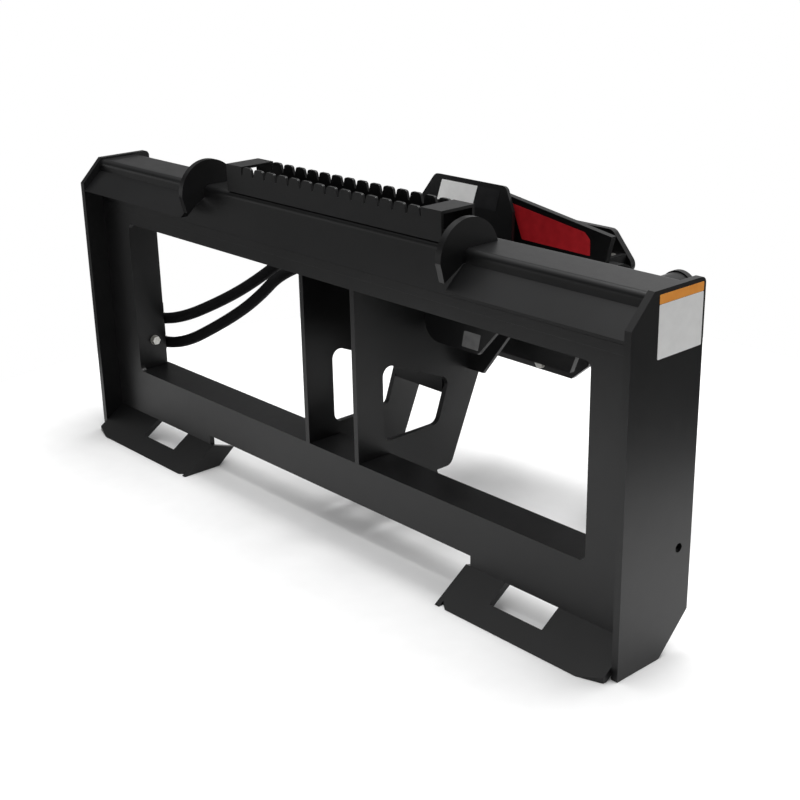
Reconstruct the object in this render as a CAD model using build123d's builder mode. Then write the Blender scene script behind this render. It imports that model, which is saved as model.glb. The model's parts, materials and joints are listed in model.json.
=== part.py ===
from build123d import *
import math
import os

os.makedirs("parts", exist_ok=True)

# Earth auger drive for a loader, standing upright on its coupler frame.
# The loader side faces -Y, the drive hangs behind (+Y) and to the right (+X), +Z is up.
# The origin is on the floor under the middle of the whole attachment.

# Coupler frame
frame_w = 1156.0  # over the end plates
frame_h = 470.0
end_t = 9.5
end_front = 33.5  # how far the end plates reach in front of the face
end_foot = 44.0
end_rear = 95.5
top_cut = 37.3
foot_cut = 50.0
end_hole_y = 72.0
end_hole_z = 140.0
end_hole_r = 6.0
tube_s = 76.2
tube_inset = 3.0  # the end plates stand this much above the tube
tube_wall = 6.4
tube_r = 9.0
face_t = 8.0
face_bottom = 53.4
window_w = 990.0
window_bottom = 116.3
window_top = 371.6
window_r = 9.0
sill_t = 8.0
sill_depth = 59.5
jamb_t = 8.0
jamb_depth = 53.1
lip_t = 8.0
lip_top = 449.3
lip_tip = 420.4
hook_t = 9.5
hook_right = 289.0
hook_left = -266.0
hook_r = 50.0
hook_mid_y = 10.0
hook_mid_z = 455.0
hook_tip = 430.0
hook_bite = 4.0
weld_gap = 0.5

# Coupler tabs bent forward at the foot of the face
tab_in = 299.0
tab_out = 568.0
tab_t = 9.5
tab_bend = 38.2
tab_reach = 58.1
tab_slot_a = 363.8
tab_slot_b = 454.5
tab_slot_depth = 30.0
tab_cut = 34.0
gusset_t = 8.0
gusset_back = 40.0
gusset_foot = 9.0
gusset_h = 25.0

# Step on the tube
step_left = -208.0
step_right = 247.0
step_h = 40.0
step_t = 4.0
step_front = 2.0
step_rear = 60.0
tooth_n = 14
tooth_pitch = 27.2
tooth_h = 12.5
tooth_root = 24.4
tooth_tip = 18.0
tooth_r = 4.5

# Boom plates
boom_mid = 15.6
boom_gap = 103.0  # clear width between the two plates
boom_t = 8.5
boom_bottom = 62.0
boom_toe = 181.0
boom_lean = 23.8
boom_top = 440.0
boom_top_rear = 397.0
win_front = 49.0
win_bottom = 135.5
win_top = 255.5
win_back = 178.5
win_back_z = 200.7
win_toe = 155.2
win_r = 14.0

# Tie plate between the boom plates
tie_y = 172.0
tie_low = 178.0
tie_high = 250.0
tie_t = 6.0

# Back plate and guard plate, both leaning back
lean = 13.5
back_t = 6.0
back_y = 217.0  # front face at the height back_z
back_z = 207.0
back_half_low = 91.0
back_half_mid = 128.0
back_half_shoulder = 95.0
back_half_top = 74.0
back_hip_z = 267.0
back_shoulder_z = 440.0
back_top_z = 473.0
back_r = 12.0
guard_t = 6.0
guard_y = 131.0
guard_z = 312.0
guard_w = 164.0
guard_low = 35.0
guard_high = 70.0
guard_foot = 115.0  # width along the lower edge
guard_step = 141.0  # width at the height guard_z
guard_r = 38.0
guard_corner_r = 8.0

# Arm box that carries the hub
arm_t = 9.5
arm_front = 285.3
arm_gap = 80.5
arm_low = 217.0
arm_tip = 285.0
arm_tip_z = 430.0
arm_top_left = 60.0
arm_top_z = 464.0
arm_shoulder_z = 446.0
arm_right = 276.0
arm_right_z = 397.0
arm_foot = 216.0
arm_foot_rise = 23.0
arm_foot_run = 9.0
arm_rear_low = 167.0
arm_rear_top = 413.0
arm_rear_foot = 142.0
arm_rear_heel = 174.0
arm_rear_rise = 27.0
arm_rear_side = 251.0
arm_rear_side_z = 368.0
arm_rear_crown = 212.0
arm_rear_r = 14.0
hub_left = 150.0
hub_right = 262.0
hub_r = 38.0
hub_web_t = 8.0
hub_web_h = 84.0
hub_web_in_left = 12.0
hub_web_in_right = 30.0

# Heel that the attachment is parked on
heel_front = 95.0
heel_rear = 172.0
heel_t = 8.0
heel_taper = 20.0

# Pivots of the hanging drive
pivot_x = 322.0
pivot_z = 340.0
shaft_r = 22.0
pin_r = 15.0
run_gap = 0.05  # radial running clearance
side_gap = 0.5  # side clearance
cross_r = 28.0
cross_l = 104.0
collar_r = 33.0
collar_t = 7.0
washer_t = 5.0
thread_l = 34.0  # how far the shaft stands out of the hub on the left
thread_end = 4.0  # bare end past the nut
pin_head = 6.0
pin_head_r = 22.0
pin_ring_r = 20.0

# Hanging drive
ear_t = 9.0
ear_r = 30.0
ear_w = 76.0
flange_r = 66.0
flange_t = 12.0
box_bottom = 92.0
box_top = 138.0
nose_r = 48.0
nose_bottom = 72.0
cavity_r = 55.0
cavity_bottom = 96.0
seal_r = 40.0
seal_t = 4.0
bearing_r = 44.0
journal_r = 30.0
seal_journal_r = 31.0
output_top = 70.0  # upper end of the part that an auger's hub slides on
motor_r = 38.0
motor_h = 96.0
motor_flange_r = 51.0
motor_flange_t = 12.0
port_z = 208.0
port_gap = 34.0
port_r = 11.0
port_l = 12.0
fitting_hex = 7.2
fitting_cone = 9.6
fitting_r = 7.7
motor_edge = 3.0
output_edge = 2.0
output_r = 32.55
output_z = 8.0
cross_hole_r = 8.0
cross_hole_z = 28.0
carrier_r = 45.0
carrier_t = 9.0
bolt_pcd = 120.0
bolt_r = 3.3
bolt_head_r = 5.5
bolt_head_t = 5.0
bolt_angles = [-30, 0, 30, 150, 180, 210]
motor_pcd = 90.0

# Planetary gears
module = 2.0
sun_n = 12
planet_n = 18
ring_n = sun_n + 2 * planet_n
gear_w = 20.0
gear_gap = 1.0
planet_pin_r = 6.0
input_r = 9.0
input_l = 40.0
input_clear = 4.0  # around the input shaft in the flange
input_end_gap = 1.0
gear_root = 1.25 * module
gear_tip = 0.95 * module
tooth_base = 0.80 * module
tooth_half = 0.63 * module
tooth_point = 0.28 * module
tooth_sink = 0.5 * module  # how far a gear tooth runs into its hub
rim_sink = 0.15 * module
bolt_gap = 0.2
bolt_bite = 14.0

# Hydraulic lines
hose_r = 9.5
ferrule_r = 11.5
ferrule_l = 16.0
line_y = 64.5
bracket_x = -544.0
bracket_t = 6.0
bracket_edge = 16.0
bracket_margin = 21.0
hose_a_z = 190.0
hose_b_z = 148.0
bulk_r = 11.0
bulk_spread = 28.0  # each bulkhead coupling above or below the pivot's height
coupler_r = 13.5
coupler_l = 23.0
coupling_hex = 12.0

# Zinc bolts
zinc_r = 4.0
zinc_head = 7.5
zinc_t = 6.0
zinc_washer_r = 8.0
zinc_washer_t = 1.5
jamb_bolt_y = 31.0
jamb_bolt_z = 164.5
arm_bolts = [(79.5, 178), (216, 371)]

# Derived places
half_w = frame_w / 2
pivot_depth = arm_front + arm_t + arm_gap / 2
pin_half = cross_l / 2 + side_gap + ear_t
rear_reach = pivot_depth + pin_half + pin_head
face_y = -(rear_reach - tab_reach) / 2
pivot_y = face_y + pivot_depth
tube_top = frame_h - tube_inset
tube_bottom = tube_top - tube_s
plate_x = [boom_mid - boom_gap / 2 - boom_t, boom_mid + boom_gap / 2]
arm_left = plate_x[0]
boom_right = plate_x[1] + boom_t
rear_y = face_y + arm_front + arm_t + arm_gap
slope = math.tan(math.radians(lean))
sun_pitch = sun_n * module / 2
planet_pitch = planet_n * module / 2
ring_pitch = ring_n * module / 2
orbit_r = sun_pitch + planet_pitch
bolt_spots = [
    (bolt_pcd / 2 * math.cos(math.radians(a)), bolt_pcd / 2 * math.sin(math.radians(a))) for a in bolt_angles
]
motor_spots = [
    (motor_pcd / 2 * math.cos(math.radians(a)), motor_pcd / 2 * math.sin(math.radians(a))) for a in (45, 135, 225, 315)
]
rise = math.cos(math.radians(lean))


def save(piece, name):
    piece.part.label = name
    export_step(piece.part, "parts/" + name + ".step")


# End plates: one outline in the YZ plane, a chamfer over the front corner and one behind the foot
for name, x0 in (("end_plate_left", -half_w), ("end_plate_right", half_w - end_t)):
    with BuildPart() as end_plate:
        with BuildSketch(Plane.YZ.offset(x0)):
            with BuildLine():
                Polyline(
                    (face_y + top_cut - end_front, frame_h),
                    (face_y - end_front, frame_h - top_cut),
                    (face_y - end_front, 0),
                    (face_y + end_foot, 0),
                    (face_y + end_rear, foot_cut),
                    (face_y + end_rear, frame_h),
                    close=True,
                )
            make_face()
            fillet(vertices().group_by(Axis.Y)[-1].sort_by(Axis.X)[-1], 8)
            with Locations((face_y + end_hole_y, end_hole_z)):
                Circle(end_hole_r, mode=Mode.SUBTRACT)
        extrude(amount=end_t)
    save(end_plate, name)

# Top tube: square section with rounded corners, between the end plates
with BuildPart() as top_tube:
    with BuildSketch(Plane.YZ.offset(-half_w + end_t)):
        with Locations((face_y + tube_s / 2, tube_top - tube_s / 2)):
            RectangleRounded(tube_s, tube_s, tube_r)
            RectangleRounded(
                tube_s - 2 * tube_wall, tube_s - 2 * tube_wall, tube_r - tube_wall / 2, mode=Mode.SUBTRACT
            )
    extrude(amount=frame_w - 2 * end_t)
save(top_tube, "top_tube")

# Face plate with the wide window, from the lower band up to the tube
with BuildPart() as face_plate:
    with BuildSketch(Plane.XZ.offset(-face_y)):
        with Locations((0, (face_bottom + tube_bottom) / 2)):
            Rectangle(frame_w - 2 * end_t, tube_bottom - face_bottom)
        with Locations((0, (window_bottom + window_top) / 2)):
            RectangleRounded(window_w, window_top - window_bottom, window_r, mode=Mode.SUBTRACT)
    extrude(amount=-face_t)
save(face_plate, "face_plate")

# Lips that the loader hooks under, sloping down and forward from the tube
lip_fall = lip_top - lip_tip
lip_len = math.hypot(end_front, lip_fall)
lip_run = lip_t * lip_len / lip_fall  # the lip's thickness measured level, along its underside
for name, x0, x1 in (
    ("lip_left", -half_w + end_t, hook_left - 2 * hook_t),
    ("lip_right", hook_right, half_w - end_t),
):
    with BuildPart() as lip:
        with BuildSketch(Plane.YZ.offset(x0)):
            with BuildLine():
                Polyline(
                    (face_y, lip_top),
                    (face_y - end_front, lip_tip),
                    (face_y - end_front + lip_run, lip_tip),
                    (face_y, lip_top - lip_t * lip_len / end_front),
                    close=True,
                )
            make_face()
        extrude(amount=x1 - x0)
    save(lip, name)

# Half-moon hooks over the tube, each ending in a nose in front of the lip
for name, x1 in (("hook_left", hook_left), ("hook_right", hook_right)):
    with BuildPart() as hook:
        with BuildSketch(Plane.YZ.offset(x1 - hook_t)):
            with BuildLine():
                ThreePointArc(
                    (face_y + hook_mid_y + hook_r, tube_top - hook_bite),
                    (face_y + hook_mid_y, hook_mid_z + hook_r),
                    (face_y + hook_mid_y - hook_r, hook_mid_z),
                )
                Polyline(
                    (face_y + hook_mid_y - hook_r, hook_mid_z),
                    (face_y - end_front, hook_tip),
                    (face_y, lip_top + weld_gap),
                    (face_y + hook_mid_y + hook_r, tube_top - hook_bite),
                )
            make_face()
            with Locations((face_y + tube_s / 2, tube_top - tube_s / 2)):
                RectangleRounded(tube_s, tube_s, tube_r, mode=Mode.SUBTRACT)
        extrude(amount=hook_t)
    save(hook, name)

# Coupler tabs bent forward at the foot, each with a slot for the loader's locking wedge
tab_fall = tab_bend / tab_reach
tab_slant = math.hypot(tab_bend, tab_reach)
tab_drop = tab_t * tab_slant / tab_reach
tab_run = tab_t * tab_slant / tab_bend
for side, sign in (("left", -1), ("right", 1)):
    with BuildPart() as coupler_tab:
        with BuildSketch(Plane.YZ.offset(tab_in if sign > 0 else -tab_out)):
            with BuildLine():
                Polyline(
                    (face_y, face_bottom),
                    (face_y, tab_bend),
                    (face_y - tab_reach, 0),
                    (face_y - tab_reach + tab_run, 0),
                    (face_y + face_t, tab_bend - tab_drop + face_t * tab_fall),
                    (face_y + face_t, face_bottom),
                    close=True,
                )
            make_face()
        extrude(amount=tab_out - tab_in)
        with BuildSketch(Plane.XY):
            with Locations((sign * (tab_slot_a + tab_slot_b) / 2, face_y + (face_t - tab_slot_depth) / 2)):
                Rectangle(tab_slot_b - tab_slot_a, face_t + tab_slot_depth)
        extrude(amount=tab_bend, mode=Mode.SUBTRACT)
        with BuildSketch(Plane.XY):
            with BuildLine():
                Polyline(
                    (sign * tab_out, face_y - tab_reach + tab_cut / 3),
                    (sign * (tab_out - tab_cut), face_y - tab_reach),
                    (sign * tab_out, face_y - tab_reach),
                    close=True,
                )
            make_face()
            with BuildLine():
                Polyline(
                    (sign * tab_in, face_y - tab_reach + tab_cut / 4),
                    (sign * (tab_in + tab_cut / 3), face_y - tab_reach),
                    (sign * tab_in, face_y - tab_reach),
                    close=True,
                )
            make_face()
        extrude(amount=face_bottom, mode=Mode.SUBTRACT)
    save(coupler_tab, "coupler_tab_" + side)

    # Gusset that stiffens the inner end of each tab, flush with its slope and running back under the face plate
    x0 = tab_in - gusset_t if sign > 0 else -tab_in
    with BuildPart() as gusset:
        with BuildSketch(Plane.YZ.offset(x0)):
            with BuildLine():
                Polyline(
                    (face_y - tab_reach, 0),
                    (face_y, tab_bend),
                    (face_y + gusset_back, gusset_h),
                    (face_y + gusset_foot, 0),
                    close=True,
                )
            make_face()
        extrude(amount=gusset_t)
    save(gusset, "gusset_" + side)

# Sill behind the window's lower edge, slotted half way to lap with the boom plates
lap_y = face_y + (face_t + sill_depth) / 2
with BuildPart() as sill:
    with BuildSketch(Plane.XY.offset(window_bottom - sill_t)):
        with Locations((0, face_y + (face_t + sill_depth) / 2)):
            Rectangle(window_w + 2 * jamb_t, sill_depth - face_t)
        for x0 in plate_x:
            with Locations((x0 + boom_t / 2, lap_y + sill_depth / 2)):
                Rectangle(boom_t, sill_depth, mode=Mode.SUBTRACT)
    extrude(amount=sill_t)
save(sill, "sill")

# Jamb returns at the window's ends, standing on the sill
for name, x0 in (("jamb_left", -window_w / 2 - jamb_t), ("jamb_right", window_w / 2)):
    with BuildPart() as jamb:
        with BuildSketch(Plane.YZ.offset(x0)):
            with Locations((face_y + (face_t + jamb_depth) / 2, (window_bottom + tube_bottom) / 2)):
                Rectangle(jamb_depth - face_t, tube_bottom - window_bottom)
            if x0 < 0:
                with Locations((face_y + jamb_bolt_y, jamb_bolt_z)):
                    Circle(zinc_r, mode=Mode.SUBTRACT)
        extrude(amount=jamb_t)
    save(jamb, name)

# Step: a channel on the tube, open in the middle, whose two walls end in rows of rounded teeth
step_mid_x = (step_left + step_right) / 2
step_mid_y = face_y + (step_front + step_rear) / 2
step_inside = step_rear - step_front - 2 * step_t
teeth_w = tooth_n * tooth_pitch
teeth_reach = (teeth_w - tooth_root + tooth_tip) / 2
step_top = tube_top + step_h
with BuildPart() as step:
    with BuildSketch(Plane.YZ.offset(step_left)):
        with Locations((step_mid_y, tube_top + step_h / 2)):
            Rectangle(step_rear - step_front, step_h)
        with Locations((step_mid_y, tube_top + (step_h - step_t) / 2)):
            Rectangle(step_inside, step_h - step_t, mode=Mode.SUBTRACT)
    extrude(amount=step_right - step_left)
    with BuildSketch(Plane.XY.offset(step_top - step_t)):
        with Locations((step_mid_x, step_mid_y)):
            Rectangle(teeth_w, step_inside)
    extrude(amount=step_t, mode=Mode.SUBTRACT)
    with BuildSketch(Plane.XZ.offset(-face_y)):
        with Locations((step_mid_x, step_top)):
            Rectangle(teeth_w, 2 * tooth_h)
        with Locations((step_mid_x, step_top - tooth_h)):
            with GridLocations(tooth_pitch, 1, tooth_n, 1):
                Trapezoid(
                    tooth_root,
                    tooth_h,
                    math.degrees(math.atan2(tooth_h, (tooth_root - tooth_tip) / 2)),
                    align=(Align.CENTER, Align.MIN),
                    mode=Mode.SUBTRACT,
                )
    extrude(amount=-step_rear - step_t, mode=Mode.SUBTRACT)
    fillet(
        edges()
        .filter_by(Axis.Y)
        .filter_by_position(Axis.X, step_mid_x - teeth_reach, step_mid_x + teeth_reach)
        .group_by(Axis.Z)[-1],
        tooth_r,
    )
save(step, "step")

# Boom plates: one outline in the YZ plane with a D-shaped window and notches for the sill
toe_rise = (arm_front - boom_toe) / math.tan(math.radians(boom_lean))
for name, x0 in zip(("boom_plate_left", "boom_plate_right"), plate_x):
    with BuildPart() as boom_plate:
        with BuildSketch(Plane.YZ.offset(x0)):
            with BuildLine():
                Polyline(
                    (face_y + face_t, boom_bottom),
                    (face_y + boom_toe, boom_bottom),
                    (face_y + arm_front, boom_bottom + toe_rise),
                    (face_y + arm_front, boom_top_rear),
                    (face_y + tube_s, boom_top),
                    (face_y + tube_s, tube_bottom),
                    (face_y + face_t, tube_bottom),
                    (face_y + face_t, window_top),
                    (face_y, window_top),
                    (face_y, window_bottom),
                    (face_y + face_t, window_bottom),
                    close=True,
                )
            make_face()
            fillet(vertices().sort_by_distance((face_y + boom_toe, boom_bottom))[0], win_r)
            with BuildSketch(mode=Mode.PRIVATE) as opening:
                with BuildLine():
                    Polyline(
                        (face_y + win_front, win_bottom),
                        (face_y + win_front, win_top),
                        (face_y + win_back, win_back_z),
                        (face_y + win_toe, win_bottom),
                        close=True,
                    )
                make_face()
                fillet(vertices(), win_r)
            add(opening.sketch, mode=Mode.SUBTRACT)
            with Locations(((face_y + face_t + lap_y) / 2, window_bottom - sill_t / 2)):
                Rectangle(lap_y - face_y - face_t, sill_t, mode=Mode.SUBTRACT)
        extrude(amount=boom_t)
    save(boom_plate, name)

# Tie plate between the boom plates, seen through their windows
with BuildPart() as boom_tie:
    with BuildSketch(Plane.XZ.offset(-face_y - tie_y)):
        with Locations((boom_mid, (tie_low + tie_high) / 2)):
            Rectangle(boom_gap, tie_high - tie_low)
    extrude(amount=-tie_t)
save(boom_tie, "boom_tie")

# Back plate: a shield leaning back, slotted from below over the two boom plates
back_plane = Plane(
    origin=(boom_mid, face_y + back_y, back_z),
    x_dir=(1, 0, 0),
    z_dir=(0, -math.cos(math.radians(lean)), math.sin(math.radians(lean))),
)
back_h = (back_top_z - back_z) / rise
back_shoulder = (back_shoulder_z - back_z) / rise
back_hip = (back_hip_z - back_z) / rise
boom_fall = (boom_top - boom_top_rear) / (arm_front - tube_s)
slot_z = (boom_top - boom_fall * (back_y - tube_s - back_z * slope)) / (1 + boom_fall * slope)
slot_h = (slot_z - back_z) / rise + weld_gap
with BuildPart() as back_plate:
    with BuildSketch(back_plane):
        with BuildLine():
            Polyline(
                (-back_half_low, 0),
                (-back_half_mid, back_hip),
                (-back_half_shoulder, back_shoulder),
                (-back_half_top, back_h),
                (back_half_top, back_h),
                (back_half_shoulder, back_shoulder),
                (back_half_mid, back_hip),
                (back_half_low, 0),
                close=True,
            )
        make_face()
        fillet(vertices().group_by(Axis.Y)[-1], back_r)
        with Locations(
            (plate_x[0] + boom_t / 2 - boom_mid, slot_h - back_h / 2), (plate_x[1] + boom_t / 2 - boom_mid, slot_h - back_h / 2)
        ):
            Rectangle(boom_t, back_h, mode=Mode.SUBTRACT)
    extrude(amount=-back_t)
save(back_plate, "back_plate")

# Guard plate on the right boom plate, parallel to the back plate
guard_plane = Plane(
    origin=(boom_right, face_y + guard_y, guard_z),
    x_dir=(1, 0, 0),
    z_dir=(0, -math.cos(math.radians(lean)), math.sin(math.radians(lean))),
)
with BuildPart() as guard_plate:
    with BuildSketch(guard_plane):
        with BuildLine():
            Polyline(
                (0, -guard_low),
                (guard_foot, -guard_low),
                (guard_step, 0),
                (guard_w, guard_high / 2),
                (guard_w, guard_high),
                (0, guard_high),
                close=True,
            )
        make_face()
        fillet(vertices().sort_by_distance((0, -guard_low))[0], guard_r)
        fillet(vertices().sort_by_distance((guard_foot, -guard_low))[0], guard_corner_r)
    extrude(amount=-guard_t)
save(guard_plate, "guard_plate")

# Front arm plate, butted against the rear edges of the boom plates
with BuildPart() as arm_plate_front:
    with BuildSketch(Plane.XZ.offset(-face_y - arm_front)):
        with BuildLine():
            Polyline(
                (arm_left, arm_low),
                (arm_foot, arm_low),
                (arm_foot + arm_foot_run, arm_low + arm_foot_rise),
                (arm_right, arm_right_z),
                (arm_tip, arm_tip_z),
                (arm_top_left, arm_top_z),
                (arm_left, arm_shoulder_z),
                close=True,
            )
        make_face()
    extrude(amount=-arm_t)
save(arm_plate_front, "arm_plate_front")

# Rear arm plate
with BuildPart() as arm_plate_rear:
    with BuildSketch(Plane.XZ.offset(-rear_y)):
        with BuildLine():
            Polyline(
                (arm_left, arm_rear_low),
                (arm_rear_foot, arm_rear_low),
                (arm_rear_heel, arm_rear_low + arm_rear_rise),
                (arm_rear_side, arm_rear_side_z),
                (arm_rear_crown, arm_rear_top),
                (arm_left, arm_rear_top),
                close=True,
            )
        make_face()
        fillet(vertices().sort_by_distance((arm_rear_side, arm_rear_side_z))[0], arm_rear_r)
        fillet(vertices().sort_by_distance((arm_rear_crown, arm_rear_top))[0], arm_rear_r)
        with Locations(*arm_bolts):
            Circle(zinc_r, mode=Mode.SUBTRACT)
    extrude(amount=-arm_t)
save(arm_plate_rear, "arm_plate_rear")

# End plate of the arm box, with the two holes for the bulkhead couplings
bulk_z = [pivot_z + bulk_spread, pivot_z - bulk_spread]
with BuildPart() as arm_end_plate:
    with BuildSketch(Plane.YZ.offset(arm_left)):
        with Locations((pivot_y, (arm_low + arm_rear_top) / 2)):
            Rectangle(arm_gap, arm_rear_top - arm_low)
        with Locations((pivot_y, bulk_z[0]), (pivot_y, bulk_z[1])):
            Circle(bulk_r, mode=Mode.SUBTRACT)
    extrude(amount=arm_t)
save(arm_end_plate, "arm_end_plate")

# Hub tube along X and the two webs that hold it in the arm box
with BuildPart() as hub_tube:
    with BuildSketch(Plane.YZ.offset(hub_left)):
        with Locations((pivot_y, pivot_z)):
            Circle(hub_r)
            Circle(shaft_r + run_gap, mode=Mode.SUBTRACT)
    extrude(amount=hub_right - hub_left)
save(hub_tube, "hub_tube")

for name, x0 in (("hub_web_left", hub_left + hub_web_in_left), ("hub_web_right", hub_right - hub_web_in_right)):
    with BuildPart() as hub_web:
        with BuildSketch(Plane.YZ.offset(x0)):
            with Locations((pivot_y, pivot_z)):
                Rectangle(arm_gap, hub_web_h)
                Circle(hub_r, mode=Mode.SUBTRACT)
        extrude(amount=hub_web_t)
    save(hub_web, name)

# Heel: two ribs under the boom plates and the foot plate between them
with BuildPart() as heel:
    with BuildSketch(Plane.XY):
        with Locations(((arm_left + boom_right) / 2, face_y + (heel_front + heel_rear) / 2)):
            Rectangle(boom_right - arm_left, heel_rear - heel_front)
    extrude(amount=heel_t)
    for x0 in plate_x:
        with BuildSketch(Plane.YZ.offset(x0)):
            with BuildLine():
                Polyline(
                    (face_y + heel_front, heel_t),
                    (face_y + heel_rear, heel_t),
                    (face_y + heel_rear - heel_taper, boom_bottom),
                    (face_y + heel_front, boom_bottom),
                    close=True,
                )
            make_face()
        extrude(amount=boom_t)
save(heel, "heel")

# Knuckle: a shaft along X in the hub, a thrust collar and a cross tube along Y for the hanger pin
shaft_left = hub_left - thread_l
collar_x = hub_right + side_gap
with BuildPart() as knuckle:
    with BuildSketch(Plane.YZ.offset(shaft_left)):
        with Locations((pivot_y, pivot_z)):
            Circle(shaft_r)
    extrude(amount=pivot_x - shaft_left)
    with BuildSketch(Plane.YZ.offset(collar_x)):
        with Locations((pivot_y, pivot_z)):
            Circle(collar_r)
    extrude(amount=collar_t)
    with BuildSketch(Plane.XZ.offset(-pivot_y - cross_l / 2)):
        with Locations((pivot_x, pivot_z)):
            Circle(cross_r)
    extrude(amount=cross_l)
    with BuildSketch(Plane.XZ.offset(-pivot_y - cross_l / 2)):
        with Locations((pivot_x, pivot_z)):
            Circle(pin_r + run_gap)
    extrude(amount=cross_l, mode=Mode.SUBTRACT)
save(knuckle, "knuckle")

# Washer and nut that hold the shaft in the hub
with BuildPart() as knuckle_nut:
    with BuildSketch(Plane.YZ.offset(hub_left - side_gap)):
        with Locations((pivot_y, pivot_z)):
            Circle(collar_r)
            Circle(shaft_r + run_gap, mode=Mode.SUBTRACT)
    extrude(amount=-washer_t)
    with BuildSketch(Plane.YZ.offset(hub_left - side_gap - washer_t)):
        with Locations((pivot_y, pivot_z)):
            RegularPolygon(collar_r, 6)
            Circle(shaft_r + run_gap, mode=Mode.SUBTRACT)
    extrude(amount=-(thread_l - side_gap - washer_t - thread_end))
save(knuckle_nut, "knuckle_nut")

# Hanger: a flange with two ears up to the pin, astride the motor
with BuildPart() as hanger:
    with BuildSketch(Plane.XY.offset(box_top)):
        with Locations((pivot_x, pivot_y)):
            Circle(flange_r)
            Circle(input_r + input_clear, mode=Mode.SUBTRACT)
            with Locations(*bolt_spots):
                Circle(bolt_r + bolt_gap, mode=Mode.SUBTRACT)
            with Locations(*motor_spots):
                Circle(bolt_r + bolt_gap, mode=Mode.SUBTRACT)
    extrude(amount=flange_t)
    for y0 in (pivot_y - cross_l / 2 - side_gap - ear_t, pivot_y + cross_l / 2 + side_gap):
        with BuildSketch(Plane.XZ.offset(-y0)):
            with BuildLine():
                Polyline(
                    (pivot_x - ear_w / 2, box_top + flange_t),
                    (pivot_x + ear_w / 2, box_top + flange_t),
                    (pivot_x + ear_r, pivot_z),
                    (pivot_x - ear_r, pivot_z),
                    close=True,
                )
            make_face()
            with Locations((pivot_x, pivot_z)):
                Circle(ear_r)
                Circle(pin_r, mode=Mode.SUBTRACT)
        extrude(amount=-ear_t)
save(hanger, "hanger")

# Hanger pin with a head in front and a retaining ring behind
with BuildPart() as hanger_pin:
    with BuildSketch(Plane.XZ.offset(-pivot_y + pin_half)):
        with Locations((pivot_x, pivot_z)):
            Circle(pin_r)
    extrude(amount=-2 * pin_half)
    with BuildSketch(Plane.XZ.offset(-pivot_y + pin_half)):
        with Locations((pivot_x, pivot_z)):
            Circle(pin_head_r)
    extrude(amount=pin_head)
    with BuildSketch(Plane.XZ.offset(-pivot_y - pin_half)):
        with Locations((pivot_x, pivot_z)):
            Circle(pin_ring_r)
    extrude(amount=-pin_head)
save(hanger_pin, "hanger_pin")

# Gearbox housing: nose, bearing seat and the cavity for the gears
with BuildPart() as gearbox:
    with BuildSketch(Plane.XY.offset(box_bottom)):
        with Locations((pivot_x, pivot_y)):
            Circle(flange_r)
    extrude(amount=box_top - box_bottom)
    with BuildSketch(Plane.XY.offset(nose_bottom)):
        with Locations((pivot_x, pivot_y)):
            Circle(nose_r)
    extrude(amount=box_bottom - nose_bottom)
    with BuildSketch(Plane.XY.offset(nose_bottom)):
        with Locations((pivot_x, pivot_y)):
            Circle(seal_r)
    extrude(amount=seal_t, mode=Mode.SUBTRACT)
    with BuildSketch(Plane.XY.offset(nose_bottom + seal_t)):
        with Locations((pivot_x, pivot_y)):
            Circle(bearing_r)
    extrude(amount=cavity_bottom - nose_bottom - seal_t, mode=Mode.SUBTRACT)
    with BuildSketch(Plane.XY.offset(cavity_bottom)):
        with Locations((pivot_x, pivot_y)):
            Circle(cavity_r)
    extrude(amount=box_top - cavity_bottom, mode=Mode.SUBTRACT)
    with BuildSketch(Plane.XY.offset(box_top - bolt_bite)):
        with Locations((pivot_x, pivot_y)):
            with Locations(*bolt_spots):
                Circle(bolt_r + bolt_gap)
    extrude(amount=bolt_bite, mode=Mode.SUBTRACT)
save(gearbox, "gearbox")

# Flange bolts and motor bolts, one group
with BuildPart() as drive_bolts:
    for spots, top in ((bolt_spots, box_top + flange_t), (motor_spots, box_top + flange_t + motor_flange_t)):
        with BuildSketch(Plane.XY.offset(top)):
            with Locations((pivot_x, pivot_y)):
                with Locations(*spots):
                    RegularPolygon(bolt_head_r, 6)
        extrude(amount=bolt_head_t)
        with BuildSketch(Plane.XY.offset(top)):
            with Locations((pivot_x, pivot_y)):
                with Locations(*spots):
                    Circle(bolt_r)
        extrude(amount=-flange_t - (bolt_bite - bolt_gap if top < box_top + flange_t + 1 else 0))
save(drive_bolts, "drive_bolts")

# Motor: flange, body and two port bosses on its outer side
motor_bottom = box_top + flange_t
with BuildPart() as motor:
    with BuildSketch(Plane.XY.offset(motor_bottom)):
        with Locations((pivot_x, pivot_y)):
            Circle(motor_flange_r)
    extrude(amount=motor_flange_t)
    with BuildSketch(Plane.XY.offset(motor_bottom)):
        with Locations((pivot_x, pivot_y)):
            Circle(motor_r)
    extrude(amount=motor_h)
    chamfer(edges().filter_by(GeomType.CIRCLE).group_by(Axis.Z)[-1], motor_edge)
    with BuildSketch(Plane.YZ.offset(pivot_x)):
        with Locations((pivot_y, port_z), (pivot_y, port_z + port_gap)):
            Circle(port_r)
    extrude(amount=motor_r + port_l)
    with BuildSketch(Plane.XY.offset(motor_bottom)):
        with Locations((pivot_x, pivot_y)):
            with Locations(*motor_spots):
                Circle(bolt_r + bolt_gap)
    extrude(amount=motor_flange_t, mode=Mode.SUBTRACT)
    with BuildSketch(Plane.XY.offset(motor_bottom)):
        with Locations((pivot_x, pivot_y)):
            Circle(input_r + run_gap)
    extrude(amount=input_l + input_end_gap, mode=Mode.SUBTRACT)
save(motor, "motor")

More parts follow.
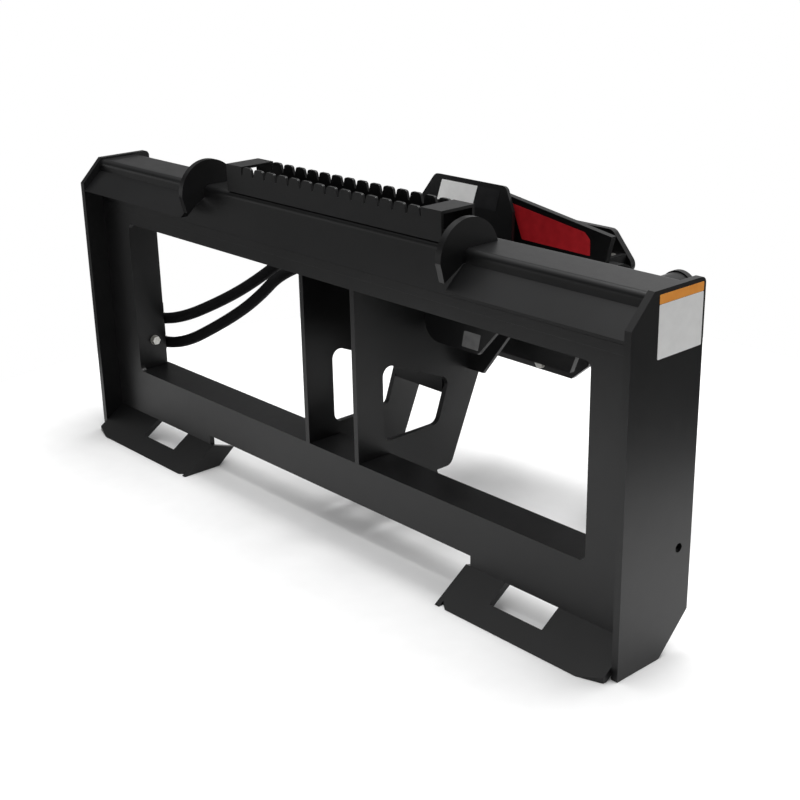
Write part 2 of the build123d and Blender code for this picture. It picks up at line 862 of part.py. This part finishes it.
# Port fittings: a hexagon and a cone seat for each hose
with BuildPart() as port_fittings:
    with BuildSketch(Plane.YZ.offset(pivot_x + motor_r + port_l)):
        with Locations((pivot_y, port_z), (pivot_y, port_z + port_gap)):
            RegularPolygon(port_r, 6)
    extrude(amount=fitting_hex)
    with BuildSketch(Plane.YZ.offset(pivot_x + motor_r + port_l + fitting_hex)):
        with Locations((pivot_y, port_z), (pivot_y, port_z + port_gap)):
            Circle(fitting_r)
    extrude(amount=fitting_cone)
save(port_fittings, "port_fittings")

# Output shaft: round 65.1 mm end with a cross hole, bearing journal, carrier disc and planet pins
shaft_shoulder = nose_bottom + seal_t + side_gap
gear_z = cavity_bottom + gear_gap + carrier_t + gear_gap
with BuildPart() as output_shaft:
    with BuildSketch(Plane.XY.offset(output_z)):
        with Locations((pivot_x, pivot_y)):
            Circle(output_r)
    extrude(amount=output_top - output_z)
    chamfer(edges().filter_by(GeomType.CIRCLE).group_by(Axis.Z)[0], output_edge)
    with BuildSketch(Plane.XY.offset(output_top)):
        with Locations((pivot_x, pivot_y)):
            Circle(seal_journal_r)
    extrude(amount=shaft_shoulder - output_top)
    with BuildSketch(Plane.XY.offset(shaft_shoulder)):
        with Locations((pivot_x, pivot_y)):
            Circle(journal_r)
    extrude(amount=cavity_bottom + gear_gap - shaft_shoulder)
    with BuildSketch(Plane.XY.offset(cavity_bottom + gear_gap)):
        with Locations((pivot_x, pivot_y)):
            Circle(carrier_r)
    extrude(amount=carrier_t)
    with BuildSketch(Plane.XY.offset(cavity_bottom + gear_gap + carrier_t)):
        with Locations((pivot_x, pivot_y)):
            with PolarLocations(orbit_r, 3, start_angle=90):
                Circle(planet_pin_r)
    extrude(amount=gear_gap + gear_w)
    with BuildSketch(Plane.YZ.offset(pivot_x)):
        with Locations((pivot_y, cross_hole_z)):
            Circle(cross_hole_r)
    extrude(amount=output_r * 2, both=True, mode=Mode.SUBTRACT)
save(output_shaft, "output_shaft")

# Bearing and seal around the output shaft
with BuildPart() as bearing:
    with BuildSketch(Plane.XY.offset(nose_bottom + seal_t + side_gap)):
        with Locations((pivot_x, pivot_y)):
            Circle(bearing_r - run_gap)
            Circle(journal_r + run_gap, mode=Mode.SUBTRACT)
    extrude(amount=cavity_bottom - nose_bottom - seal_t - 2 * side_gap)
save(bearing, "bearing")

with BuildPart() as shaft_seal:
    with BuildSketch(Plane.XY.offset(nose_bottom)):
        with Locations((pivot_x, pivot_y)):
            Circle(seal_r - run_gap)
            Circle(seal_journal_r + run_gap, mode=Mode.SUBTRACT)
    extrude(amount=seal_t)
save(shaft_seal, "shaft_seal")

# Ring gear, fixed in the housing
with BuildPart() as ring_gear:
    with BuildSketch(Plane.XY.offset(gear_z)):
        with Locations((pivot_x, pivot_y)):
            Circle(cavity_r - run_gap)
            Circle(ring_pitch + gear_root, mode=Mode.SUBTRACT)
            with PolarLocations(0, ring_n, start_angle=180 / ring_n):
                Polygon(
                    (ring_pitch + gear_root + rim_sink, tooth_base),
                    (ring_pitch, tooth_half),
                    (ring_pitch - gear_tip, tooth_point),
                    (ring_pitch - gear_tip, -tooth_point),
                    (ring_pitch, -tooth_half),
                    (ring_pitch + gear_root + rim_sink, -tooth_base),
                    align=None,
                )
    extrude(amount=gear_w)
save(ring_gear, "ring_gear")

# Sun gear on the motor's input shaft
with BuildPart() as sun_gear:
    with BuildSketch(Plane.XY.offset(gear_z)):
        with Locations((pivot_x, pivot_y)):
            Circle(sun_pitch - gear_root)
            with PolarLocations(0, sun_n, start_angle=180 / sun_n):
                Polygon(
                    (sun_pitch - gear_root - tooth_sink, tooth_base),
                    (sun_pitch, tooth_half),
                    (sun_pitch + gear_tip, tooth_point),
                    (sun_pitch + gear_tip, -tooth_point),
                    (sun_pitch, -tooth_half),
                    (sun_pitch - gear_root - tooth_sink, -tooth_base),
                    align=None,
                )
    extrude(amount=gear_w)
    with BuildSketch(Plane.XY.offset(gear_z + gear_w)):
        with Locations((pivot_x, pivot_y)):
            Circle(input_r)
    extrude(amount=motor_bottom + input_l - gear_z - gear_w)
save(sun_gear, "sun_gear")

# Planet gears, each with one tooth pointing straight outward
for k in range(3):
    turn = 90 + 120 * k
    planet_x = pivot_x + orbit_r * math.cos(math.radians(turn))
    planet_y = pivot_y + orbit_r * math.sin(math.radians(turn))
    with BuildPart() as planet:
        with BuildSketch(Plane.XY.offset(gear_z)):
            with Locations((planet_x, planet_y)):
                Circle(planet_pitch - gear_root)
                with PolarLocations(0, planet_n, start_angle=turn):
                    Polygon(
                        (planet_pitch - gear_root - tooth_sink, tooth_base),
                        (planet_pitch, tooth_half),
                        (planet_pitch + gear_tip, tooth_point),
                        (planet_pitch + gear_tip, -tooth_point),
                        (planet_pitch, -tooth_half),
                        (planet_pitch - gear_root - tooth_sink, -tooth_base),
                        align=None,
                    )
                Circle(planet_pin_r + run_gap, mode=Mode.SUBTRACT)
        extrude(amount=gear_w)
    save(planet, "planet_" + "abc"[k])

# Zinc bolts: a washer, a hexagon head and a nut on one shank, through the jamb and the rear arm plate
with BuildPart() as plate_bolts:
    for spot in arm_bolts:
        for y0, way in ((rear_y, -1), (rear_y + arm_t, 1)):
            with BuildSketch(Plane.XZ.offset(-y0)):
                with Locations(spot):
                    Circle(zinc_washer_r)
            extrude(amount=-way * zinc_washer_t)
            with BuildSketch(Plane.XZ.offset(-y0 - way * zinc_washer_t)):
                with Locations(spot):
                    RegularPolygon(zinc_head, 6)
            extrude(amount=-way * zinc_t)
        with BuildSketch(Plane.XZ.offset(-rear_y)):
            with Locations(spot):
                Circle(zinc_r)
        extrude(amount=-arm_t)
    for x0, way in ((-window_w / 2, 1), (-window_w / 2 - jamb_t, -1)):
        with BuildSketch(Plane.YZ.offset(x0)):
            with Locations((face_y + jamb_bolt_y, jamb_bolt_z)):
                Circle(zinc_washer_r)
        extrude(amount=way * zinc_washer_t)
        with BuildSketch(Plane.YZ.offset(x0 + way * zinc_washer_t)):
            with Locations((face_y + jamb_bolt_y, jamb_bolt_z)):
                RegularPolygon(zinc_head, 6)
        extrude(amount=way * zinc_t)
    with BuildSketch(Plane.YZ.offset(-window_w / 2 - jamb_t)):
        with Locations((face_y + jamb_bolt_y, jamb_bolt_z)):
            Circle(zinc_r)
    extrude(amount=jamb_t)
save(plate_bolts, "plate_bolts")

# Bracket behind the left post with the quick couplers of the two hoses
with BuildPart() as coupler_bracket:
    with BuildSketch(Plane.YZ.offset(bracket_x)):
        with Locations((face_y + (face_t + line_y + bracket_edge) / 2, (hose_a_z + hose_b_z) / 2)):
            Rectangle(line_y + bracket_edge - face_t, hose_a_z - hose_b_z + 2 * bracket_margin)
        with Locations((face_y + line_y, hose_a_z), (face_y + line_y, hose_b_z)):
            Circle(bulk_r, mode=Mode.SUBTRACT)
    extrude(amount=bracket_t)
save(coupler_bracket, "coupler_bracket")

with BuildPart() as quick_couplers:
    for z0 in (hose_a_z, hose_b_z):
        with BuildSketch(Plane.YZ.offset(bracket_x)):
            with Locations((face_y + line_y, z0)):
                Circle(coupler_r)
        extrude(amount=-coupler_l)
        with BuildSketch(Plane.YZ.offset(bracket_x)):
            with Locations((face_y + line_y, z0)):
                Circle(bulk_r - 2 * run_gap)
        extrude(amount=bracket_t)
save(quick_couplers, "quick_couplers")

# Bulkhead couplings in the end plate of the arm box
with BuildPart() as bulkhead_couplings:
    for z0 in bulk_z:
        with BuildSketch(Plane.YZ.offset(arm_left)):
            with Locations((pivot_y, z0)):
                RegularPolygon(coupler_r, 6)
        extrude(amount=-coupling_hex)
        with BuildSketch(Plane.YZ.offset(arm_left)):
            with Locations((pivot_y, z0)):
                Circle(bulk_r - 2 * run_gap)
        extrude(amount=arm_t)
        with BuildSketch(Plane.YZ.offset(arm_left + arm_t)):
            with Locations((pivot_y, z0)):
                RegularPolygon(coupler_r, 6)
        extrude(amount=coupling_hex)
save(bulkhead_couplings, "bulkhead_couplings")

# Crimped ferrules at the four hose ends
with BuildPart() as ferrules:
    for x0, y0, z0, way in (
        (bracket_x + bracket_t, face_y + line_y, hose_a_z, 1),
        (bracket_x + bracket_t, face_y + line_y, hose_b_z, 1),
        (arm_left - coupling_hex, pivot_y, bulk_z[0], -1),
        (arm_left - coupling_hex, pivot_y, bulk_z[1], -1),
    ):
        with BuildSketch(Plane.YZ.offset(x0)):
            with Locations((y0, z0)):
                Circle(ferrule_r)
        extrude(amount=way * ferrule_l)
save(ferrules, "ferrules")

# Two hydraulic hoses from the couplers behind the left post to the arm box
hose_left_x = bracket_x + bracket_t + ferrule_l
hose_right_x = arm_left - coupling_hex - ferrule_l
hose_points = {
    "hose_a": [
        (hose_left_x, face_y + line_y, hose_a_z),
        (-470, face_y + 66, 198),
        (-395, face_y + 112, 239),
        (-340, face_y + 140, 277),
        (-285, face_y + 178, 329),
        (-225, face_y + 260, 364),
        (-152, pivot_y, 372),
        (hose_right_x, pivot_y, bulk_z[0]),
    ],
    "hose_b": [
        (hose_left_x, face_y + line_y, hose_b_z),
        (-468, face_y + 66, 153),
        (-385, face_y + 99, 203),
        (-326, face_y + 125, 248),
        (-278, face_y + 152, 306),
        (-222, face_y + 250, 326),
        (-152, pivot_y, 316),
        (hose_right_x, pivot_y, bulk_z[1]),
    ],
}
for name, points in hose_points.items():
    spots = [Vector(*p) for p in points]
    radii = []
    for a, b, c in zip(spots, spots[1:], spots[2:]):
        turn = math.radians((b - a).get_angle(c - b))
        radii.append(0.45 * min((b - a).length, (c - b).length) / math.tan(turn / 2))
    print(name, "radii", [round(r) for r in radii], "runs", [round((b - a).length) for a, b in zip(spots, spots[1:])])
    with BuildPart() as hose:
        with BuildLine() as route:
            FilletPolyline(*spots, radius=radii)
        with BuildSketch(Plane(origin=route.line @ 0, z_dir=route.line % 0)):
            Circle(hose_r)
        sweep()
    print(name, "volume", round(hose.part.volume), "section x length", round(math.pi * hose_r**2 * sum(e.length for e in route.line.edges())))
    save(hose, name)
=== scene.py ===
import json
import math

import bmesh
import bpy
from mathutils import Matrix, Vector


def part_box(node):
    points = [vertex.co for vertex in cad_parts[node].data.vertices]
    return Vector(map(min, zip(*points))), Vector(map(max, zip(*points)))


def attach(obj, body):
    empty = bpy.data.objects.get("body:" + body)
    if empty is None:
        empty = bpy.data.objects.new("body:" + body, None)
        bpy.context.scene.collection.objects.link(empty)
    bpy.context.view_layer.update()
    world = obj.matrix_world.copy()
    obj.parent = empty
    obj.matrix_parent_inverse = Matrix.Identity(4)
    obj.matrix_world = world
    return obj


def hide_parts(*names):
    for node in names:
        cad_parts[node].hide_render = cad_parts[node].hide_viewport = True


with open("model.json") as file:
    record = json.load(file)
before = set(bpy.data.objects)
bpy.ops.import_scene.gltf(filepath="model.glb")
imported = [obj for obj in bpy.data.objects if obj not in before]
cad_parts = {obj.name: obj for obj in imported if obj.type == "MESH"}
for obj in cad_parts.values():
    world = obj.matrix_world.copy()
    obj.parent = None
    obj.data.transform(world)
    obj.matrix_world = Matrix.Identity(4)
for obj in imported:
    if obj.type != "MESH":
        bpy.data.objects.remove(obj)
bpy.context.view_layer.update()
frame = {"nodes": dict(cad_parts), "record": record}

# Sizes in metres, in the row frame, read from the frame's own nodes where they lie on it
face_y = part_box("face_plate")[0].y
tube_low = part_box("top_tube")[0]
end_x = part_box("end_plate_right")[1].x
film = 0.0004  # thickness of a stuck-on panel
film_corner = 0.0014
film_gap = 0.0005


# Camera: fitted to the square edges of the coupler frame
camera_spot = Vector((1.47016, face_y - 1.16112, 0.88997))
camera_yaw = math.radians(-48.3219)
camera_pitch = math.radians(-20.4817)
camera_roll = math.radians(-1.1541)
focal_pixels = 1390.92
picture_pixels = 800.0
sensor_width = 36.0


def add_camera():
    """A camera where the photograph was taken from."""
    forward = Vector(
        (
            math.sin(camera_yaw) * math.cos(camera_pitch),
            math.cos(camera_yaw) * math.cos(camera_pitch),
            math.sin(camera_pitch),
        )
    )
    level_right = Vector((math.cos(camera_yaw), -math.sin(camera_yaw), 0))
    level_up = level_right.cross(forward)
    right = level_right * math.cos(camera_roll) + level_up * math.sin(camera_roll)
    up = level_up * math.cos(camera_roll) - level_right * math.sin(camera_roll)
    data = bpy.data.cameras.new("camera")
    data.sensor_width = sensor_width
    data.lens = focal_pixels / picture_pixels * sensor_width
    data.dof.use_dof = False
    camera = bpy.data.objects.new("camera", data)
    turn = Matrix((right, up, -forward)).transposed().to_4x4()
    camera.matrix_world = Matrix.Translation(camera_spot) @ turn
    bpy.context.scene.collection.objects.link(camera)
    bpy.context.scene.camera = camera


# Materials


def new_material(name):
    material = bpy.data.materials.new(name)
    material.use_nodes = True
    nodes = material.node_tree.nodes
    nodes.clear()
    output = nodes.new("ShaderNodeOutputMaterial")
    shader = nodes.new("ShaderNodeBsdfPrincipled")
    material.node_tree.links.new(shader.outputs["BSDF"], output.inputs["Surface"])
    return material, nodes, material.node_tree.links, shader


def noise(nodes, links, scale, detail, stretch=(1, 1, 1), rough=0.5):
    place = nodes.new("ShaderNodeTexCoord")
    mapping = nodes.new("ShaderNodeMapping")
    mapping.inputs["Scale"].default_value = stretch
    texture = nodes.new("ShaderNodeTexNoise")
    texture.inputs["Scale"].default_value = scale
    texture.inputs["Detail"].default_value = detail
    texture.inputs["Roughness"].default_value = rough
    links.new(place.outputs["Object"], mapping.inputs["Vector"])
    links.new(mapping.outputs["Vector"], texture.inputs["Vector"])
    return texture


def ramp(nodes, links, source, low, high, low_at=0.3, high_at=0.7):
    between = nodes.new("ShaderNodeValToRGB")
    between.color_ramp.elements[0].position = low_at
    between.color_ramp.elements[1].position = high_at
    between.color_ramp.elements[0].color = (*low, 1)
    between.color_ramp.elements[1].color = (*high, 1)
    links.new(source, between.inputs["Fac"])
    return between


def spread(nodes, links, source, start=0.0, end=1.0, low=0.0, high=1.0, steps="LINEAR"):
    """The source's range from start to end, laid over low to high."""
    between = nodes.new("ShaderNodeMapRange")
    between.interpolation_type = steps
    between.inputs["From Min"].default_value = start
    between.inputs["From Max"].default_value = end
    between.inputs["To Min"].default_value = low
    between.inputs["To Max"].default_value = high
    links.new(source, between.inputs["Value"])
    return between.outputs["Result"]


def join(nodes, links, operation, first, second):
    both = nodes.new("ShaderNodeMath")
    both.operation = operation
    links.new(first, both.inputs[0])
    links.new(second, both.inputs[1])
    return both.outputs["Value"]


def vary_roughness(nodes, links, shader, source, low, high):
    links.new(spread(nodes, links, source, low=low, high=high), shader.inputs["Roughness"])


def add_bump(nodes, links, shader, source, strength, distance):
    bump = nodes.new("ShaderNodeBump")
    bump.inputs["Strength"].default_value = strength
    bump.inputs["Distance"].default_value = distance
    links.new(source, bump.inputs["Height"])
    links.new(bump.outputs["Normal"], shader.inputs["Normal"])


def black_coat():
    """Satin black powder coat: cloudy tone, fine orange peel and a few dusty patches."""
    material, nodes, links, shader = new_material("black_coat")
    cloud = noise(nodes, links, 9, 6)
    tone = ramp(nodes, links, cloud.outputs["Fac"], (0.0030, 0.0030, 0.0032), (0.0060, 0.0061, 0.0064))
    links.new(tone.outputs["Color"], shader.inputs["Base Color"])
    dust = noise(nodes, links, 45, 8, rough=0.7)
    vary_roughness(nodes, links, shader, dust.outputs["Fac"], 0.30, 0.42)
    peel = noise(nodes, links, 900, 2)
    add_bump(nodes, links, shader, peel.outputs["Fac"], 0.12, 0.0004)
    shader.inputs["Specular IOR Level"].default_value = 0.34
    return material


def zinc_plate():
    """Zinc plated steel: pale grey with a faint yellow passivation and fine scratches."""
    material, nodes, links, shader = new_material("zinc_plate")
    cloud = noise(nodes, links, 160, 4)
    tone = ramp(nodes, links, cloud.outputs["Fac"], (0.42, 0.41, 0.37), (0.72, 0.72, 0.70))
    links.new(tone.outputs["Color"], shader.inputs["Base Color"])
    scratch = noise(nodes, links, 700, 3, stretch=(1, 1, 0.1))
    vary_roughness(nodes, links, shader, scratch.outputs["Fac"], 0.22, 0.45)
    add_bump(nodes, links, shader, scratch.outputs["Fac"], 0.15, 0.0002)
    shader.inputs["Metallic"].default_value = 0.9
    return material


def machined_steel():
    """Turned steel: fine tool marks round the axis and slight oil stain."""
    material, nodes, links, shader = new_material("machined_steel")
    mark = noise(nodes, links, 90, 4, stretch=(0.2, 0.2, 14))
    tone = ramp(nodes, links, mark.outputs["Fac"], (0.34, 0.34, 0.34), (0.58, 0.57, 0.56))
    links.new(tone.outputs["Color"], shader.inputs["Base Color"])
    vary_roughness(nodes, links, shader, mark.outputs["Fac"], 0.24, 0.42)
    add_bump(nodes, links, shader, mark.outputs["Fac"], 0.2, 0.0002)
    shader.inputs["Metallic"].default_value = 1.0
    return material


def hose_rubber():
    """Black hose cover with a faint cloth wrap pattern."""
    material, nodes, links, shader = new_material("hose_rubber")
    place = nodes.new("ShaderNodeTexCoord")
    wrap = nodes.new("ShaderNodeTexWave")
    wrap.bands_direction = "DIAGONAL"
    wrap.inputs["Scale"].default_value = 130
    wrap.inputs["Distortion"].default_value = 1.2
    links.new(place.outputs["Object"], wrap.inputs["Vector"])
    cloud = noise(nodes, links, 60, 5)
    tone = ramp(nodes, links, cloud.outputs["Fac"], (0.0024, 0.0024, 0.0027), (0.0060, 0.0060, 0.0064))
    links.new(tone.outputs["Color"], shader.inputs["Base Color"])
    vary_roughness(nodes, links, shader, cloud.outputs["Fac"], 0.55, 0.75)
    add_bump(nodes, links, shader, wrap.outputs["Fac"], 0.25, 0.0003)
    shader.inputs["Specular IOR Level"].default_value = 0.09
    return material


def seal_rubber():
    """Dark seal rubber, slightly greasy."""
    material, nodes, links, shader = new_material("seal_rubber")
    cloud = noise(nodes, links, 220, 4)
    tone = ramp(nodes, links, cloud.outputs["Fac"], (0.008, 0.008, 0.009), (0.02, 0.019, 0.018))
    links.new(tone.outputs["Color"], shader.inputs["Base Color"])
    vary_roughness(nodes, links, shader, cloud.outputs["Fac"], 0.4, 0.6)
    return material


def panel_film(name, low, high):
    """Printed vinyl film with faint mottling."""
    material, nodes, links, shader = new_material(name)
    cloud = noise(nodes, links, 70, 6)
    tone = ramp(nodes, links, cloud.outputs["Fac"], low, high)
    links.new(tone.outputs["Color"], shader.inputs["Base Color"])
    vary_roughness(nodes, links, shader, cloud.outputs["Fac"], 0.35, 0.5)
    shader.inputs["Specular IOR Level"].default_value = 0.35
    return material


finishes = {
    "black_coat": black_coat(),
    "zinc": zinc_plate(),
    "bright_steel": machined_steel(),
    "hose_rubber": hose_rubber(),
    "seal_rubber": seal_rubber(),
}


def finish_nodes():
    """Every node of the frame takes the finish of its material slot."""
    for part in frame["record"]["subparts"]:
        node = frame["nodes"][part["node"]]
        node.data.materials.clear()
        node.data.materials.append(finishes[part["material_slot"]])


# New pieces


def add_piece(name, mesh, material, body):
    data = bpy.data.meshes.new(name)
    mesh.to_mesh(data)
    mesh.free()
    data.materials.append(material)
    piece = bpy.data.objects.new(name, data)
    bpy.context.scene.collection.objects.link(piece)
    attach(piece, body)
    return piece


def film_panel(name, corners, outward, material, body="frame"):
    """A thin stuck-on panel with rounded corners, lying on a flat face."""
    mesh = bmesh.new()
    mesh.faces.new([mesh.verts.new(corner) for corner in corners])
    bmesh.ops.bevel(
        mesh,
        geom=mesh.verts[:],
        offset=film_corner,
        offset_type="OFFSET",
        affect="VERTICES",
        segments=4,
        profile=0.5,
        material=-1,
    )
    mesh.normal_update()
    mesh.faces.ensure_lookup_table()
    face = mesh.faces[0]
    if face.normal.dot(outward) < 0:
        face.normal_flip()
    raised = bmesh.ops.extrude_face_region(mesh, geom=[face])
    moved = [item for item in raised["geom"] if isinstance(item, bmesh.types.BMVert)]
    bmesh.ops.translate(mesh, verts=moved, vec=Vector(outward).normalized() * film)
    bmesh.ops.recalc_face_normals(mesh, faces=mesh.faces)
    return add_piece(name, mesh, material, body)


# Seam between tube and face plate
plate_inset = 0.0096
seam_overlap = 0.0012  # how far it reaches below the tube
seam_low = tube_low.z - seam_overlap
seam_height = 0.0125
seam_depth = 0.004
seam_proud = 0.00025
seam_bevel = 0.0002

# Guard plate's plane starts at this corner
guard_depth = 0.131
guard_height = 0.312

# Back plate's plane, leaning back from its lower edge
lean = math.radians(13.5)
back_foot = Vector((0.0156, face_y + 0.217, 0.207))
back_up = Vector((0, math.sin(lean), math.cos(lean)))
back_out = Vector((0, -math.cos(lean), math.sin(lean)))


def back_point(x, z):
    """A point on the back plate's front face, by its x and its height."""
    return Vector((x, back_foot.y, back_foot.z)) + back_up * ((z - back_foot.z) / math.cos(lean))


# Label on the back plate: white to the split and black beyond, leaning a little at its ends
label_left = -0.0455
label_split = 0.030
label_right = 0.0785
label_low = 0.436
label_high = 0.466
label_lean = 0.004
label_right_lean = 0.002

# Panel on the front arm plate, as x and z of its corners
arm_panel_outline = [(0.1187, 0.399), (0.2477, 0.397), (0.247, 0.420), (0.237, 0.429), (0.098, 0.449)]

# Panel on the right end plate, with a band along its top
end_near = face_y + 0.0128
end_far = face_y + 0.0915
end_low = 0.390
end_split = 0.4535
end_high = 0.4645
end_gap = 0.0002

# Sticker on the guard plate
guard_left = 0.158
guard_right = 0.190
guard_low = -0.030
guard_high = -0.008


def label_corners(left, right, left_lean, right_lean):
    low = [back_point(left, label_low), back_point(right, label_low)]
    return low + [back_point(right + right_lean, label_high), back_point(left + left_lean, label_high)]


def add_panels():
    white = panel_film("panel_white", (0.86, 0.86, 0.85), (0.92, 0.92, 0.91))
    black = panel_film("panel_black", (0.006, 0.006, 0.007), (0.011, 0.011, 0.012))
    red = panel_film("panel_red", (0.46, 0.012, 0.018), (0.58, 0.02, 0.028))
    amber = panel_film("panel_amber", (0.90, 0.32, 0.04), (0.98, 0.39, 0.06))
    white_part = label_corners(label_left, label_split, label_lean, label_lean)
    black_part = label_corners(label_split + film_gap, label_right, label_lean, label_right_lean)
    film_panel("label_white", white_part, back_out, white)
    film_panel("label_black", black_part, back_out, black)
    arm_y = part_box("arm_plate_front")[0].y
    film_panel("arm_panel", [Vector((x, arm_y, z)) for x, z in arm_panel_outline], (0, -1, 0), red)
    for name, low, high, material in (
        ("end_panel", end_low, end_split - end_gap, white),
        ("end_panel_band", end_split + end_gap, end_high, amber),
    ):
        outline = [(end_near, low), (end_far, low), (end_far, high), (end_near, high)]
        film_panel(name, [Vector((end_x, y, z)) for y, z in outline], (1, 0, 0), material)


def guard_point(x, up):
    """A point on the guard plate's front face, by its x and its distance up the slope."""
    corner = Vector((0, face_y + guard_depth, guard_height))
    return corner + Vector((x, 0, 0)) + back_up * up


def add_guard_panel():
    """Plain sticker in the middle of the guard plate."""
    grey = panel_film("panel_grey", (0.10, 0.10, 0.10), (0.15, 0.15, 0.15))
    low = [guard_point(guard_left, guard_low), guard_point(guard_right, guard_low)]
    high = [guard_point(guard_right, guard_high), guard_point(guard_left, guard_high)]
    film_panel("guard_panel", low + high, back_out, grey)


def add_seam():
    """Weld between tube and face plate, ground flush over the whole width."""
    mesh = bmesh.new()
    bmesh.ops.create_cube(mesh, size=1)
    half = end_x - plate_inset
    middle = (0, face_y + seam_depth / 2 - seam_proud, seam_low + seam_height / 2)
    size = Matrix.Diagonal((2 * half, seam_depth, seam_height, 1))
    bmesh.ops.transform(mesh, verts=mesh.verts, matrix=Matrix.Translation(middle) @ size)
    long_edges = [edge for edge in mesh.edges if abs(edge.verts[0].co.x - edge.verts[1].co.x) > half]
    bmesh.ops.bevel(
        mesh,
        geom=long_edges,
        offset=seam_bevel,
        offset_type="OFFSET",
        affect="EDGES",
        segments=3,
        profile=0.5,
        material=-1,
    )
    bmesh.ops.recalc_face_normals(mesh, faces=mesh.faces)
    add_piece("seam_weld", mesh, finishes["black_coat"], "frame")


# Hoses: their control points are those of the solids that they replace
hose_radius = 0.0095
line_depth = 0.0645
pivot_y = (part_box("hub_tube")[0].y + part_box("hub_tube")[1].y) / 2
hose_left = -0.522
hose_right = -0.0724
hose_routes = {
    "hose_a": [
        (hose_left, face_y + line_depth, 0.190),
        (-0.470, face_y + 0.066, 0.198),
        (-0.395, face_y + 0.112, 0.239),
        (-0.340, face_y + 0.140, 0.277),
        (-0.285, face_y + 0.178, 0.329),
        (-0.225, face_y + 0.260, 0.364),
        (-0.152, pivot_y, 0.372),
        (hose_right, pivot_y, 0.368),
    ],
    "hose_b": [
        (hose_left, face_y + line_depth, 0.148),
        (-0.468, face_y + 0.066, 0.153),
        (-0.385, face_y + 0.099, 0.203),
        (-0.326, face_y + 0.125, 0.248),
        (-0.278, face_y + 0.152, 0.306),
        (-0.222, face_y + 0.250, 0.326),
        (-0.152, pivot_y, 0.316),
        (hose_right, pivot_y, 0.312),
    ],
}


def add_hoses():
    """The two hydraulic hoses, in place of their solids."""
    for name, route in hose_routes.items():
        curve = bpy.data.curves.new(name + "_line", "CURVE")
        curve.dimensions = "3D"
        curve.bevel_depth = hose_radius
        curve.bevel_resolution = 6
        curve.use_fill_caps = True
        spline = curve.splines.new("NURBS")
        spline.points.add(len(route) - 1)
        for point, place in zip(spline.points, route):
            point.co = (*place, 1)
        spline.order_u = 3
        spline.use_endpoint_u = True
        spline.resolution_u = 12
        curve.materials.append(finishes["hose_rubber"])
        hose = bpy.data.objects.new(name + "_line", curve)
        bpy.context.scene.collection.objects.link(hose)
        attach(hose, "frame")
        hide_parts(name)


# Stage and light

floor_radius = 0.95
# How bright the studio is by the sine of the angle above or below the horizon
sky_bands = [(-0.3, 0.06), (-0.08, 0.7), (0.1, 0.9), (0.2, 0.06), (0.5, 0.06), (0.85, 1.1)]
rear_glow = 0.6
rear_range = (0.6, 0.8)  # how far a direction points back where the rear glow sets in
above_range = (0.08, 0.2)  # and how far above the horizon
overhead_watts = 115
overhead_place = (0.2, 0.5, 3.1)
overhead_size = 2.6
floor_drop = 0.0005
floor_edges = 128


def add_floor():
    mesh = bmesh.new()
    bmesh.ops.create_circle(mesh, cap_ends=True, segments=floor_edges, radius=floor_radius)
    data = bpy.data.meshes.new("floor")
    mesh.to_mesh(data)
    mesh.free()
    material, nodes, links, shader = new_material("floor_paper")
    grain = noise(nodes, links, 30, 4)
    tone = ramp(nodes, links, grain.outputs["Fac"], (0.86, 0.86, 0.86), (0.88, 0.88, 0.88))
    links.new(tone.outputs["Color"], shader.inputs["Base Color"])
    shader.inputs["Roughness"].default_value = 0.9
    shader.inputs["Specular IOR Level"].default_value = 0.1
    data.materials.append(material)
    floor = bpy.data.objects.new("floor", data)
    floor.location = (0, 0, -floor_drop)
    bpy.context.scene.collection.objects.link(floor)


def add_lamp(name, place, target, size, watts):
    data = bpy.data.lights.new(name, "AREA")
    data.shape = "DISK"
    data.size = size
    data.energy = watts
    lamp = bpy.data.objects.new(name, data)
    lamp.location = place
    lamp.rotation_euler = (Vector(target) - Vector(place)).to_track_quat("-Z", "Y").to_euler()
    lamp.visible_camera = False
    bpy.context.scene.collection.objects.link(lamp)


def add_light():
    """A soft lamp overhead in a studio that is pale at the horizon, overhead and behind, and dim between."""
    world = bpy.data.worlds.new("studio")
    world.use_nodes = True
    nodes, links = world.node_tree.nodes, world.node_tree.links
    back = nodes["Background"]
    back.inputs["Color"].default_value = (1, 1, 1, 1)
    place = nodes.new("ShaderNodeTexCoord")
    axes = nodes.new("ShaderNodeSeparateXYZ")
    links.new(place.outputs["Generated"], axes.inputs["Vector"])
    height = spread(nodes, links, axes.outputs["Z"], start=-1.0)
    rise = nodes.new("ShaderNodeValToRGB")
    bands = rise.color_ramp
    bands.elements[0].position = (1 + sky_bands[0][0]) / 2
    bands.elements[1].position = (1 + sky_bands[-1][0]) / 2
    for up, _ in sky_bands[1:-1]:
        bands.elements.new((1 + up) / 2)
    for stop, (_, glow) in zip(bands.elements, sky_bands):
        stop.color = (glow, glow, glow, 1)
    links.new(height, rise.inputs["Fac"])
    rear = spread(nodes, links, axes.outputs["Y"], *rear_range, high=rear_glow, steps="SMOOTHSTEP")
    above = spread(nodes, links, axes.outputs["Z"], *above_range)
    rear_above = join(nodes, links, "MULTIPLY", rear, above)
    studio = join(nodes, links, "ADD", rise.outputs["Color"], rear_above)
    seen = nodes.new("ShaderNodeLightPath")
    links.new(join(nodes, links, "MAXIMUM", seen.outputs["Is Camera Ray"], studio), back.inputs["Strength"])
    bpy.context.scene.world = world
    add_lamp("overhead", overhead_place, (0, 0, 0), overhead_size, overhead_watts)
    bpy.context.scene.view_settings.view_transform = "Standard"


add_camera()
finish_nodes()
add_panels()
add_guard_panel()
add_seam()
add_hoses()
add_floor()
add_light()
